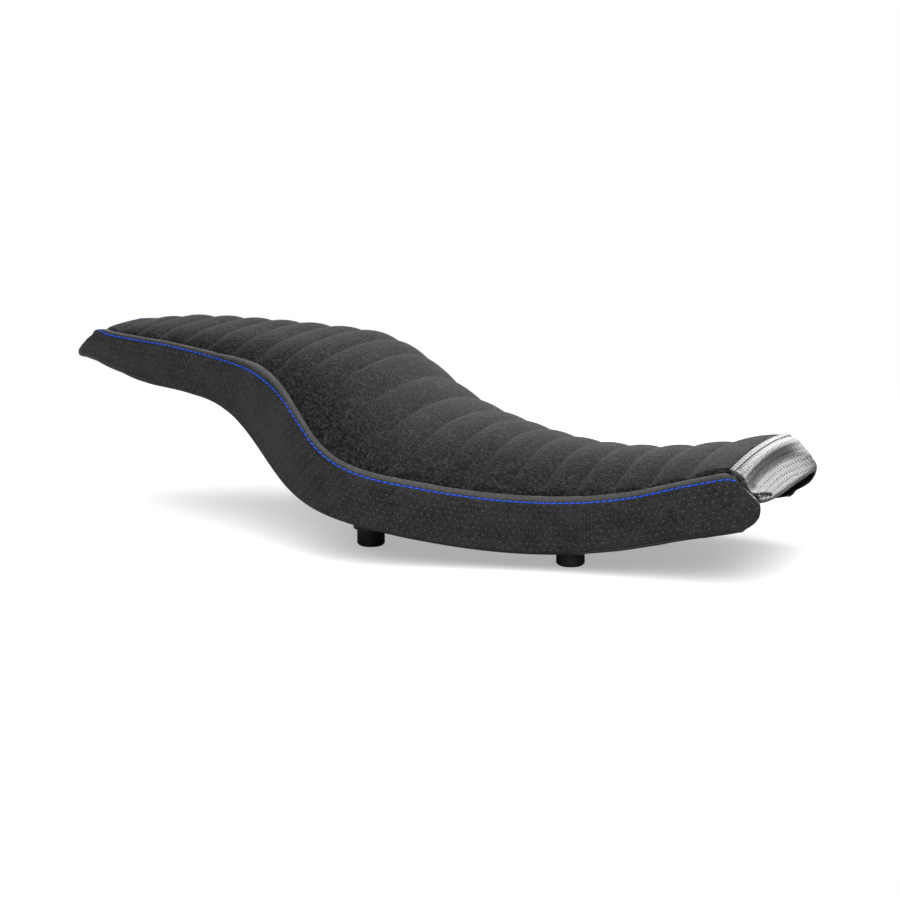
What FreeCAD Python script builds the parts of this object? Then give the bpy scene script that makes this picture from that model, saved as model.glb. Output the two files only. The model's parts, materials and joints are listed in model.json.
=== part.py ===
import FreeCAD, Part
import math
import os
import Sketcher
from FreeCAD import Placement, Rotation, Vector

os.makedirs("parts", exist_ok=True)
doc = FreeCAD.newDocument("TwoUpSeat")

# sizes
# +X is the nose, +Z is up, the four feet stand on Z = 0, all in millimetres.
# A station is a cross-section: where it is, half its width over the cover,
# the height of its crown and of its underside, and the radius of its crown.
stations = {
    "nose":    {"at": 360,  "half": 88,  "top": 112, "base": 56,  "crown": 900},
    "lap":     {"at": 300,  "half": 91,  "top": 101, "base": 38,  "crown": 390},
    "dip":     {"at": 225,  "half": 99,  "top": 92,  "base": 20,  "crown": 212},
    "saddle":  {"at": 150,  "half": 113, "top": 92,  "base": 15,  "crown": 226},
    "thigh":   {"at": 80,   "half": 135, "top": 101, "base": 22,  "crown": 305},
    "hip":     {"at": 20,   "half": 153, "top": 111, "base": 34,  "crown": 460},
    "foot":    {"at": -25,  "half": 153, "top": 134, "base": 45,  "crown": 490},
    "ramp":    {"at": -70,  "half": 133, "top": 161, "base": 63,  "crown": 660},
    "brow":    {"at": -115, "half": 108, "top": 172, "base": 95,  "crown": 730},
    "deck":    {"at": -160, "half": 90,  "top": 175, "base": 120, "crown": 950},
    "pillion": {"at": -240, "half": 72,  "top": 177, "base": 131, "crown": 1000},
    "tail":    {"at": -344, "half": 31,  "top": 178, "base": 137, "crown": 1000},
}

sizes = {
    # ends of the seat, seen from the side
    "nose_seam_x": 333, "nose_tip_x": 361, "nose_tip_z": 76, "nose_heel_x": 344,
    "tail_seam_x": -326, "tail_tip_x": -361, "tail_tip_z": 145,
    "nose_hollow": 5,
    # cover and padding
    "skin": 2, "suede": 1.4, "pad": 12, "fit_gap": 0.3,
    "fold": 7, "hem": 20, "cap_depth": 3,
    "pleat_count": 22, "pleat_depth": 3.2, "pleat_stretch": 0.27, "pleat_fade": 1.8,
    # base pan
    "pan_wall": 3.2, "pan_rim": 18, "pan_flange": 24, "pan_rise": 6, "pan_end": 4,
    "rib_thick": 2.4, "rib_pitch": 78, "rib_side": 30, "rib_clear": 1,
    "drain_r": 4,
    # bumpers, screwed to the pan's pedestals
    "bumper_r": 12.7, "bumper_tall": 16, "bumper_edge": 1.6,
    "bumper_bore": 7, "bumper_web": 8,
    "front_bumper_x": 185, "front_bumper_y": 69,
    "rear_bumper_x": -7, "rear_bumper_y": 78,
    "pedestal_r": 16,
    "washer_r": 6.3, "washer_thick": 1.2, "bolt_r": 2.4, "bolt_gap": 0.15,
    "bolt_head_r": 4.6, "bolt_head": 3.2, "bolt_bite": 12,
    # front hook and rear bracket
    "plate": 3, "bend_r": 1.4, "boss_r": 8, "boss_tall": 5,
    "hook_x": 268, "hook_wide": 46, "hook_pad": 44, "hook_drop": 11, "hook_reach": 26,
    "hook_hole_x": 12, "hook_hole_y": 14,
    "tab_x": -222, "tab_wide": 30, "tab_pad": 44, "tab_drop": 8, "tab_reach": 36,
    "tab_hole_x": 12, "tab_bore_r": 4.25,
    "screw_r": 2.9, "screw_head_r": 5.7, "screw_head": 3.4, "screw_long": 8,
    "insert_r": 4.4, "insert_long": 6,
    # staples through the hem
    "staple_long": 11, "staple_wide": 1.3, "staple_thick": 0.8,
    "staple_pitch": 34, "staple_in": 13,
}

sheet = doc.addObject("Spreadsheet::Sheet", "Sizes")
for name, row in stations.items():
    for what, value in row.items():
        sizes[name + "_" + what] = value
for line, (alias, value) in enumerate(sizes.items(), 1):
    sheet.set("A%d" % line, alias)
    sheet.set("B%d" % line, str(value))
    sheet.setAlias("B%d" % line, alias)
doc.recompute()


def size(alias):
    return float(getattr(sheet, alias))


# shape laws
def law(what):
    """A smooth curve in the XZ plane through one value of every station."""
    points = [Vector(size(n + "_at"), 0, size(n + "_" + what)) for n in reversed(stations)]
    curve = Part.BSplineCurve()
    curve.interpolate(Points=points, Parameters=[p.x for p in points])
    return curve


top_law = law("top")
crown_law = law("crown")
low_x = top_law.FirstParameter
high_x = top_law.LastParameter
SPAN = 175
HIGH = 260
MARGIN = 60


def height(curve, x):
    return curve.value(max(low_x, min(high_x, x))).z


class ArcLine:
    """A law drawn as arcs that meet smoothly, two between neighbouring stations."""

    def __init__(self, what):
        curve = law(what)
        places = [size(n + "_at") for n in reversed(stations)]
        self.arcs = []
        for low, high in zip(places, places[1:]):
            start, leave = curve.value(low), curve.tangent(low)[0]
            end, arrive = curve.value(high), curve.tangent(high)[0]
            joint = self.meeting(start, leave, end, arrive)
            self.arcs.append((low, self.circle(start, leave, joint)))
            self.arcs.append((joint.x, self.circle(end, arrive, joint)))

    def meeting(self, start, leave, end, arrive):
        """Where two arcs meet that leave start and reach end along the given tangents."""
        chord = end - start
        turn = max(2 * (1 - leave.dot(arrive)), 1e-9)
        lean = chord.dot(leave + arrive)
        reach = (math.sqrt(lean ** 2 + turn * chord.dot(chord)) - lean) / turn
        return (start + end + (leave - arrive) * reach) * 0.5

    def circle(self, point, tangent, other):
        """Centre and signed radius of the arc through both points, tangent at the first."""
        normal = Vector(-tangent.z, 0, tangent.x)
        chord = other - point
        radius = chord.dot(chord) / (2 * normal.dot(chord) + 1e-9)
        centre = point + normal * radius
        return centre.x, centre.z, radius

    def circle_at(self, x):
        return [arc for start, arc in self.arcs if start <= x or start == low_x][-1]

    def height(self, x):
        across, up, radius = self.circle_at(x)
        return up - math.copysign(math.sqrt(radius ** 2 - (x - across) ** 2), radius)

    def slope(self, x):
        across, up, radius = self.circle_at(x)
        return math.atan2((x - across) / radius, math.sqrt(1 - ((x - across) / radius) ** 2))

    def edges(self, low, high, lift):
        """The arcs from low to high, raised by lift."""
        joints = [start for start, arc in self.arcs if low + 0.01 < start < high - 0.01]
        places = [low] + joints + [high]
        rows = []
        for start, end in zip(places, places[1:]):
            points = [Vector(x, 0, self.height(x) + lift) for x in (start, (start + end) / 2, end)]
            rows.append(Part.Arc(*points).toShape())
        return rows


half_line = ArcLine("half")
base_line = ArcLine("base")


# basic solids
def lay_flat(edge):
    """Turn an edge of the XZ plane into the XY plane."""
    return edge.rotated(Vector(0, 0, 0), Vector(1, 0, 0), -90)


def plan(inset):
    """The seat's outline seen from above, brought in by inset, as a tall prism."""
    corner_x = size("nose_tip_x") + size("nose_hollow") - inset
    left = [lay_flat(edge) for edge in half_line.edges(low_x, corner_x, -inset)]
    right = [edge.mirror(Vector(0, 0, 0), Vector(0, 1, 0)) for edge in left]
    first = Vector(corner_x, half_line.height(corner_x) - inset, 0)
    last = Vector(low_x, half_line.height(low_x) - inset, 0)
    hollow = Vector(corner_x - size("nose_hollow"), 0, 0)
    front = Part.Arc(first, hollow, Vector(first.x, -first.y, 0))
    tip = Vector(size("tail_tip_x") + inset, 0, 0)
    back = Part.Arc(last, tip, Vector(last.x, -last.y, 0))
    edges = [front.toShape(), back.toShape()] + left + right
    face = Part.Face(Part.Wire(Part.__sortEdges__(edges)))
    return face.extrude(Vector(0, 0, 2 * HIGH)).translated(Vector(0, 0, -HIGH))


def across(points, curves=()):
    """A side view, as straight lines and the given curves, run across the seat."""
    edges = [Part.LineSegment(a, b).toShape() for a, b in zip(points, points[1:])]
    face = Part.Face(Part.Wire(Part.__sortEdges__(edges + list(curves))))
    return face.extrude(Vector(0, 2 * SPAN, 0)).translated(Vector(0, -SPAN, 0))


def side(ends, lift):
    """The seat seen from the side without its crown: chisel nose, chisel tail."""
    heel = low_x + ends
    toe = size("nose_heel_x") - ends
    tail_run = size("tail_seam_x") - size("tail_tip_x")
    tail_rise = height(top_law, size("tail_seam_x")) - size("tail_tip_z")
    nose_run = size("nose_tip_x") - size("nose_seam_x")
    nose_rise = height(top_law, size("nose_seam_x")) - size("nose_tip_z")
    tail_tip = Vector(size("tail_tip_x") + ends, 0, size("tail_tip_z"))
    nose_tip = Vector(size("nose_tip_x") - ends, 0, size("nose_tip_z"))
    tail_high = Vector(tail_tip.x + tail_run * (HIGH - tail_tip.z) / tail_rise, 0, HIGH)
    nose_high = Vector(nose_tip.x - nose_run * (HIGH - nose_tip.z) / nose_rise, 0, HIGH)
    start = Vector(heel, 0, base_line.height(heel) + lift)
    end = Vector(toe, 0, base_line.height(toe) + lift)
    path = [start, tail_tip, tail_high, nose_high, nose_tip, end]
    return across(path, base_line.edges(heel, toe, lift))


def slab(low, high, ends=0):
    """A layer that follows the underside, between two heights above it."""
    start = low_x + ends
    end = size("nose_heel_x") - ends
    edges = base_line.edges(start, end, low) + base_line.edges(start, end, high)
    for x in (start, end):
        foot = Vector(x, 0, base_line.height(x) + low)
        edges.append(Part.LineSegment(foot, foot + Vector(0, 0, high - low)).toShape())
    return across([], edges)


def crown_section(x, drop):
    """Everything under the crown at x, as one closed section."""
    radius = height(crown_law, x)
    top = height(top_law, x) - drop
    sag = radius - math.sqrt(radius ** 2 - SPAN ** 2)
    right = Vector(x, -SPAN, top - sag)
    left = Vector(x, SPAN, top - sag)
    arc = Part.Arc(right, Vector(x, 0, top), left).toShape()
    low_left = Vector(x, SPAN, -HIGH)
    low_right = Vector(x, -SPAN, -HIGH)
    sides = [Part.LineSegment(left, low_left).toShape(),
             Part.LineSegment(low_left, low_right).toShape(),
             Part.LineSegment(low_right, right).toShape()]
    return Part.Wire([arc] + sides)


def under_crown(drop):
    """The body under the plain crown, lowered by drop, with a section at each pleat seam."""
    places = [low_x - MARGIN] + pleat_seams()[::-1] + [high_x + MARGIN]
    return Part.makeLoft([crown_section(x, drop) for x in places], True, True)


def envelope(inset, lift, drop):
    """The whole seat, brought in by inset, lift from below and drop from above."""
    return plan(inset).common(side(inset, lift)).common(under_crown(drop))


def finish(label, shape):
    """Put a computed solid into the document as a sub-part."""
    feature = doc.addObject("Part::Feature", label)
    feature.Label = label
    feature.Shape = shape
    subparts.append(feature)


subparts = []
skin = size("skin")
gap = size("fit_gap")
pan_inset = skin + gap
pan_lift = skin + gap
floor_lift = pan_lift + size("pan_rise")
floor_top = floor_lift + size("pan_wall")
wall_top = pan_lift + size("pan_rim")
flange_inset = pan_inset + size("pan_flange")


# pleats
# Each pleat's rise from its front seam: (share of its length, share of its depth below the crest).
pleat_shape = ((0, 1), (0.27, 0.05), (0.73, 0.05))


def pleat_seams():
    """Where the seams between the pleats cross the centre line, nose to tail."""
    count = int(size("pleat_count"))
    fade = size("pleat_fade")
    weights = [1 + size("pleat_stretch") * math.exp(-i / fade) for i in range(count)]
    start = size("tail_seam_x")
    end = size("nose_seam_x")
    total = top_law.length(start, end)
    seams = [end]
    run = total
    for weight in weights[:-1]:
        run -= total * weight / sum(weights)
        seams.append(top_law.parameterAtDistance(run, start))
    return seams + [start]


def pleated(drop):
    """The body under the pleated crown, lowered by drop: one rise in each pleat."""
    seams = pleat_seams()
    depth = size("pleat_depth")
    sections = [crown_section(high_x + MARGIN, drop + depth)]
    for front, back in zip(seams, seams[1:]):
        for share, sunk in pleat_shape:
            sections.append(crown_section(front + share * (back - front), drop + sunk * depth))
    sections.append(crown_section(seams[-1], drop + depth))
    sections.append(crown_section(low_x - MARGIN, drop + depth))
    return Part.makeLoft(sections, True, True)


def ahead_of_face(depth):
    """Space in front of the nose's two sloping faces, moved back by depth."""
    run = size("nose_tip_x") - size("nose_seam_x")
    rise = height(top_law, size("nose_seam_x")) - size("nose_tip_z")
    tip = Vector(size("nose_tip_x") - depth, 0, size("nose_tip_z"))
    head = Vector(tip.x - run * (HIGH - tip.z) / rise, 0, HIGH)
    heel = Vector(size("nose_heel_x") - depth, 0, base_line.height(size("nose_heel_x")))
    low = Vector(heel.x, 0, -HIGH)
    far = high_x + MARGIN
    return across([tip, head, Vector(far, 0, HIGH), Vector(far, 0, -HIGH), low, heel, tip])


def between(start, end):
    """Space between two cross planes."""
    box = Part.makeBox(end - start, 2 * SPAN, 2 * HIGH)
    return box.translated(Vector(start, -SPAN, -HIGH))


def make_top():
    """Pleated panel and the foam topper below it, from the nose seam to the tail seam."""
    under_panel = size("pleat_depth") + size("suede")
    reach = between(size("tail_seam_x") + 1, size("nose_seam_x") - 1)
    field = plan(size("fold") + gap).common(reach)
    panel = field.common(pleated(0)).cut(under_crown(under_panel))
    finish("top_panel", panel)
    topper = field.common(under_crown(under_panel + gap)).cut(under_crown(size("pad")))
    finish("foam_topper", topper)


def make_cover():
    """The side bands and the nose panel: one skin, folded in above and below, cut apart."""
    hem = size("hem")
    skin_shape = envelope(0, 0, 0).cut(envelope(skin, skin, skin))
    hem_start = size("nose_heel_x") - hem
    open_top = between(size("tail_seam_x"), size("nose_seam_x"))
    inside = plan(size("fold")).common(slab(hem, HIGH)).common(open_top)
    under = plan(hem).common(slab(-hem, hem)).common(between(low_x, hem_start))
    skin_shape = skin_shape.cut(inside).cut(under)
    depth = size("cap_depth")
    hem_half = size("lap_half") - hem
    panel_hem = Part.makeBox(4 * hem, 2 * hem_half, HIGH + size("nose_tip_z"))
    panel_hem.translate(Vector(hem_start, -hem_half, -HIGH))
    finish("nose_panel", skin_shape.common(ahead_of_face(depth).fuse(panel_hem)))
    gap_hem = Part.makeBox(4 * hem, 2 * (hem_half + gap), HIGH + size("nose_tip_z"))
    gap_hem.translate(Vector(hem_start - gap, -hem_half - gap, -HIGH))
    bands = skin_shape.cut(ahead_of_face(depth + gap).fuse(gap_hem))
    half = Part.makeBox(4 * HIGH, SPAN, 2 * HIGH).translated(Vector(-2 * HIGH, gap / 2, -HIGH))
    finish("side_band_left", bands.common(half))
    finish("side_band_right", bands.common(half.mirror(Vector(0, 0, 0), Vector(0, 1, 0))))


def pan_block(inset, low, high, ends):
    return plan(inset).common(slab(low, high, ends))


def bolt_bosses(extra):
    """Bosses that take the bumper bolts; over the front bumpers they stand above the floor."""
    tall = size("bolt_bite") + size("pan_wall") + extra
    rows = []
    for x, y in bumper_spots("front") + bumper_spots("rear"):
        boss = Part.makeCylinder(size("boss_r") + extra, tall)
        rows.append(boss.translated(Vector(x, y, size("bumper_tall"))))
    return rows


def make_foam():
    """Moulded core: fills the cover down to the pan and stands inside its wall."""
    ends = size("pan_end")
    core = envelope(pan_inset, pan_lift, size("pad") + gap)
    core = core.cut(pan_block(0, 0, wall_top + gap, ends - gap))
    wall = size("pan_wall") + gap
    room = pan_block(pan_inset + wall, pan_lift + wall, wall_top + 2 * gap, ends + wall)
    raised = pan_block(flange_inset - size("pan_wall") - gap, 0, floor_top + gap,
                       ends + size("pan_flange") - size("pan_wall") - gap)
    core = core.fuse(room.cut(raised)).cut(bolt_bosses(gap))
    finish("foam_core", core.removeSplitter())


def screw_spots(which):
    """Where the screws of the hook or the tab sit, in its own frame."""
    along = size(which + "_hole_x")
    if which == "hook":
        aside = size("hook_hole_y")
        return [(sx * along, sy * aside) for sx in (-1, 1) for sy in (-1, 1)]
    return [(sx * along, 0) for sx in (-1, 1)]


def bumper_spots(which):
    x = size(which + "_bumper_x")
    y = size(which + "_bumper_y")
    return [(x, -y), (x, y)]


def plate_frame(which):
    """Where the hook or the tab seats on its bosses, lying along the pan's slope."""
    x = size(which + "_x")
    turn = Rotation(Vector(0, 1, 0), -math.degrees(base_line.slope(x)))
    floor = Placement(Vector(x, 0, base_line.height(x) + floor_lift), turn)
    return floor.multiply(Placement(Vector(0, 0, -size("boss_tall")), Rotation()))


def spot_in(frame, x, y, z):
    return frame.multiply(Placement(Vector(x, y, z), Rotation()))


def pads():
    """Bosses moulded under the pan, as (place, radius, hole radius, hole depth)."""
    rows = []
    bolt_hole = size("bolt_r") + size("bolt_gap")
    for which in ("front", "rear"):
        for x, y in bumper_spots(which):
            place = spot_in(Placement(), x, y, size("bumper_tall"))
            rows.append((place, size("pedestal_r"), bolt_hole, size("bolt_bite") + gap))
    insert_hole = size("insert_r") + size("bolt_gap")
    for which in ("hook", "tab"):
        for x, y in screw_spots(which):
            place = spot_in(plate_frame(which), x, y, 0)
            rows.append((place, size("boss_r"), insert_hole, size("insert_long") + gap))
    return rows


def rod(place, radius, start, end):
    """A round bar along the local upright, from start to end."""
    bar = Part.makeCylinder(radius, end - start)
    bar.Placement = spot_in(place, 0, 0, start)
    return bar


def make_pan():
    """Moulded tray: stapling flange, upturned wall, raised and ribbed floor, bosses."""
    wall = size("pan_wall")
    ends = size("pan_end")
    flange = size("pan_flange")
    tray = pan_block(pan_inset, pan_lift, wall_top, ends)
    tray = tray.cut(pan_block(pan_inset + wall, pan_lift + wall, HIGH, ends + wall))
    floor = pan_block(flange_inset - wall, pan_lift, floor_top, ends + flange - wall)
    recess = pan_block(flange_inset, 0, floor_lift, ends + flange)
    tray = tray.fuse(floor).cut(recess)

    rib = size("rib_thick")
    rib_zone = pan_block(flange_inset - wall / 2, pan_lift + size("rib_clear"), floor_lift + wall / 2,
                         ends + flange - wall / 2)
    bars = []
    x = low_x + ends + flange + size("rib_pitch")
    while x < high_x - ends - flange - size("rib_pitch") / 2:
        bars.append(Part.makeBox(rib, 2 * SPAN, 2 * HIGH).translated(Vector(x, -SPAN, -HIGH)))
        x += size("rib_pitch")
    for way in (-1, 1):
        bar = Part.makeBox(4 * HIGH, rib, 2 * HIGH)
        bars.append(bar.translated(Vector(-2 * HIGH, way * size("rib_side") - rib / 2, -HIGH)))
    grid = bars[0].fuse(bars[1:])
    ribs = grid.common(rib_zone)

    for place, radius, hole, deep in pads():
        ribs = ribs.cut(rod(place, radius, -HIGH, 0))
    tray = tray.fuse(ribs)

    below_floor = slab(-HIGH, floor_top)
    bosses = [rod(place, radius, 0, HIGH).common(below_floor) for place, radius, hole, deep in pads()]
    holes = [rod(place, hole, -wall, deep) for place, radius, hole, deep in pads()]
    bosses += bolt_bosses(0)
    tray = tray.fuse(bosses)
    drains = []
    for x in (size("dip_at"), size("saddle_at"), size("pillion_at") - size("rib_pitch")):
        drains.append(Part.makeCylinder(size("drain_r"), 2 * HIGH).translated(Vector(x, 0, -HIGH)))
    tray = tray.cut(holes + drains)
    finish("base_pan", tray.removeSplitter())


# hardware
def bound(kind, name, **sizes_of):
    """A document object whose properties follow expressions on the sheet."""
    item = doc.addObject(kind, name)
    for key, formula in sizes_of.items():
        item.setExpression(key, formula)
    return item


def placed(item, place):
    item.Placement = place
    return item


def combined(kind, name, base, tool):
    item = doc.addObject(kind, name)
    item.Base = base
    item.Tool = tool
    return item


def group(label, members):
    """Identical small pieces kept as one sub-part of separate solids."""
    item = doc.addObject("Part::Compound", label)
    item.Label = label
    item.Links = members
    subparts.append(item)
    return item


def new_body(label):
    body = doc.addObject("PartDesign::Body", label)
    body.Label = label
    return body


def new_sketch(body, name, role):
    sketch = body.newObject("Sketcher::SketchObject", name)
    plane = [p for p in body.Origin.OriginFeatures if p.Role == role][0]
    sketch.AttachmentSupport = [(plane, "")]
    sketch.MapMode = "FlatFace"
    return sketch


def pin_point(sketch, index, end, names, label):
    """Hold one point of the sketch at two formulas measured from its origin."""
    for kind, formula, axis in (("DistanceX", names[0], "x"), ("DistanceY", names[1], "y")):
        value = float(sheet.evalExpression(formula))
        if formula == "0":
            line = -2 if kind == "DistanceX" else -1
            sketch.addConstraint(Sketcher.Constraint("PointOnObject", index, end, line))
            continue
        row = sketch.addConstraint(Sketcher.Constraint(kind, -1, 1, index, end, value))
        sketch.renameConstraint(row, label + "_" + axis)
        sketch.setExpression("Constraints." + label + "_" + axis, formula)


def outline_sketch(body, name, role, corners):
    """A closed outline of straight lines whose corners follow formulas."""
    sketch = new_sketch(body, name, role)
    values = [Vector(*[float(sheet.evalExpression(f)) for f in corner], 0) for corner in corners]
    for start, end in zip(values, values[1:] + values[:1]):
        sketch.addGeometry(Part.LineSegment(start, end), False)
    count = len(corners)
    for i in range(count):
        sketch.addConstraint(Sketcher.Constraint("Coincident", i, 2, (i + 1) % count, 1))
    for i, corner in enumerate(corners):
        pin_point(sketch, i, 1, corner, "corner%d" % i)
    return sketch


def circle_sketch(body, name, role, centres, radius):
    sketch = new_sketch(body, name, role)
    for i, centre in enumerate(centres):
        middle = Vector(*[float(sheet.evalExpression(f)) for f in centre], 0)
        round_one = Part.Circle(middle, Vector(0, 0, 1), float(sheet.evalExpression(radius)))
        sketch.addGeometry(round_one, False)
        pin_point(sketch, i, 3, centre, "centre%d" % i)
        row = sketch.addConstraint(Sketcher.Constraint("Radius", i, round_one.Radius))
        sketch.renameConstraint(row, "radius%d" % i)
        sketch.setExpression("Constraints.radius%d" % i, radius)
    return sketch


def eased(kind, body, name, base, amount, chosen):
    """Fillet or chamfer the edges of base for which chosen(edge) is true."""
    doc.recompute()
    names = ["Edge%d" % i for i, edge in enumerate(base.Shape.Edges, 1) if chosen(edge)]
    feature = body.newObject("PartDesign::" + kind, name)
    feature.Base = (base, names)
    feature.setExpression("Radius" if kind == "Fillet" else "Size", amount)
    return feature


def make_bumper(label, place):
    """Rubber stop: a short turned puck with a stepped screw hole."""
    body = new_body(label)
    wide = "Sizes.bumper_r"
    tall = "Sizes.bumper_tall"
    bore = "Sizes.bumper_bore"
    hole = "Sizes.bolt_r + Sizes.bolt_gap"
    web = "Sizes.bumper_tall - Sizes.bumper_web"
    corners = [(bore, "0"), (wide, "0"), (wide, tall), (hole, tall), (hole, web), (bore, web)]
    profile = outline_sketch(body, label + "_profile", "XZ_Plane", corners)
    turned = body.newObject("PartDesign::Revolution", label + "_turned")
    turned.Profile = profile
    turned.ReferenceAxis = (profile, ["V_Axis"])
    turned.Angle = 360
    limit = size("bumper_r") - 0.01

    def foot_rim(edge):
        return edge.BoundBox.ZMax < 0.01 and edge.BoundBox.XMax > limit

    eased("Chamfer", body, label + "_rim", turned, "Sizes.bumper_edge", foot_rim)
    subparts.append(placed(body, place))


def make_strip(label, forward, which, holes):
    """A steel strip folded down and out again; forward is 1 for the hook, -1 for the tab."""
    body = new_body(label)
    own = "Sizes." + which
    sign = "" if forward > 0 else "-"
    half = sign + "%s_pad / 2" % own
    back = ("-%s_pad / 2" if forward > 0 else "%s_pad / 2") % own
    leg = sign + "(%s_pad / 2 - Sizes.plate)" % own
    end = sign + "(%s_pad / 2 + %s_reach)" % (own, own)
    low = "-Sizes.plate"
    drop = "-%s_drop" % own
    deep = "-(%s_drop + Sizes.plate)" % own
    corners = [(back, "0"), (half, "0"), (half, drop), (end, drop), (end, deep),
               (leg, deep), (leg, low), (back, low)]
    profile = outline_sketch(body, label + "_profile", "XZ_Plane", corners)
    strip = body.newObject("PartDesign::Pad", label + "_strip")
    strip.Profile = profile
    strip.Midplane = True
    strip.setExpression("Length", own + "_wide")
    flat = float(sheet.evalExpression(half))

    def across_bend(edge):
        box = edge.BoundBox
        if box.YLength < 0.9 * size(which + "_wide"):
            return False
        return abs(box.Center.x - flat) < size("plate") + 0.5

    eased("Fillet", body, label + "_bends", strip, "Sizes.bend_r", across_bend)
    doc.recompute()
    spots = circle_sketch(body, label + "_holes", "XY_Plane", holes, "Sizes.screw_r + Sizes.fit_gap")
    cut = body.newObject("PartDesign::Pocket", label + "_drilled")
    cut.Profile = spots
    cut.Type = "ThroughAll"
    cut.Midplane = True
    if which == "tab":
        eye = circle_sketch(body, label + "_eye", "XY_Plane",
                            [("-(Sizes.tab_pad / 2 + Sizes.tab_reach / 2)", "0")], "Sizes.tab_bore_r")
        bored = body.newObject("PartDesign::Pocket", label + "_bored")
        bored.Profile = eye
        bored.Type = "ThroughAll"
        bored.Midplane = True
    subparts.append(placed(body, plate_frame(which)))


def make_screw(name, place, head, head_r, shank_r, long):
    """A hexagon screw seen from below: head under the place, two flats fore and aft, shank above."""
    low = spot_in(place, 0, 0, -float(sheet.evalExpression(head)))
    flats_ahead = Placement(Vector(), Rotation(Vector(0, 0, 1), 30))
    cap = placed(bound("Part::Prism", name + "_head", Circumradius=head_r, Height=head),
                 low.multiply(flats_ahead))
    cap.Polygon = 6
    shank = placed(bound("Part::Cylinder", name + "_shank", Radius=shank_r, Height=long), place)
    return combined("Part::Fuse", name, cap, shank)


def make_ring(name, place, outer, inner, tall):
    solid = placed(bound("Part::Cylinder", name + "_disc", Radius=outer, Height=tall), place)
    hole = placed(bound("Part::Cylinder", name + "_hole", Radius=inner, Height=tall), place)
    return combined("Part::Cut", name, solid, hole)


def make_bumper_fixings():
    web_face = size("bumper_tall") - size("bumper_web")
    under_head = web_face - size("washer_thick")
    long = "Sizes.washer_thick + Sizes.bumper_web + Sizes.bolt_bite"
    washers = []
    bolts = []
    for i, (x, y) in enumerate(bumper_spots("front") + bumper_spots("rear")):
        place = spot_in(Placement(), x, y, under_head)
        washers.append(make_ring("washer%d" % i, place, "Sizes.washer_r",
                                 "Sizes.bolt_r + Sizes.bolt_gap", "Sizes.washer_thick"))
        bolts.append(make_screw("bolt%d" % i, place, "Sizes.bolt_head",
                                "Sizes.bolt_head_r", "Sizes.bolt_r", long))
    group("bumper_washers", washers)
    group("bumper_screws", bolts)


def make_plate_fixings():
    inserts = []
    for which, label in (("hook", "front_hook_screws"), ("tab", "rear_tab_screws")):
        frame = plate_frame(which)
        screws = []
        for i, (x, y) in enumerate(screw_spots(which)):
            name = "%s%d" % (which, i)
            under = spot_in(frame, x, y, -size("plate"))
            screws.append(make_screw(name + "_screw", under, "Sizes.screw_head",
                                     "Sizes.screw_head_r", "Sizes.screw_r", "Sizes.screw_long"))
            inserts.append(make_ring(name + "_insert", spot_in(frame, x, y, 0), "Sizes.insert_r",
                                     "Sizes.screw_r + Sizes.bolt_gap", "Sizes.insert_long"))
        group(label, screws)
    group("threaded_inserts", inserts)


def make_staples(label, way):
    """One row of staples along the hem, each flat against it."""
    pitch = size("staple_pitch")
    reach = high_x - size("hem") - pitch
    count = int((reach - low_x - pitch) / pitch) + 1
    members = []
    for i in range(count):
        x = reach - i * pitch
        staple = bound("Part::Box", "%s%d" % (label, i), Length="Sizes.staple_long",
                       Width="Sizes.staple_wide", Height="Sizes.staple_thick")
        pitch_turn = Rotation(Vector(0, 1, 0), -math.degrees(base_line.slope(x)))
        yaw_turn = Rotation(Vector(0, 0, 1), way * math.degrees(half_line.slope(x)))
        turn = pitch_turn.multiply(yaw_turn)
        corner = Vector(-size("staple_long") / 2, -size("staple_wide") / 2, -size("staple_thick") - gap)
        middle = Vector(x, way * (half_line.height(x) - size("staple_in")), base_line.height(x))
        staple.Placement = Placement(middle + turn.multVec(corner), turn)
        members.append(staple)
    group(label, members)


# assembly
make_top()
make_cover()
make_foam()
make_pan()
for row_name in ("front", "rear"):
    for side_name, (spot_x, spot_y) in zip(("right", "left"), bumper_spots(row_name)):
        foot = spot_in(Placement(), spot_x, spot_y, 0)
        make_bumper("bumper_%s_%s" % (row_name, side_name), foot)
make_bumper_fixings()
hook_holes = [(a + "Sizes.hook_hole_x", b + "Sizes.hook_hole_y") for a in ("", "-") for b in ("", "-")]
tab_holes = [("Sizes.tab_hole_x", "0"), ("-Sizes.tab_hole_x", "0")]
make_strip("front_hook", 1, "hook", hook_holes)
make_strip("rear_tab", -1, "tab", tab_holes)
make_plate_fixings()
make_staples("staples_right", -1)
make_staples("staples_left", 1)
doc.recompute()

for item in doc.Objects:
    if "Invalid" in item.State or "Error" in item.State:
        raise RuntimeError("%s did not build" % item.Label)
for item in subparts:
    if item.Shape.isNull() or not item.Shape.isValid():
        raise RuntimeError("%s is not a valid solid" % item.Label)
for item in subparts:
    item.Shape.exportStep("parts/%s.step" % item.Label)
    print(item.Label, len(item.Shape.Solids), round(item.Shape.Volume))
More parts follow.
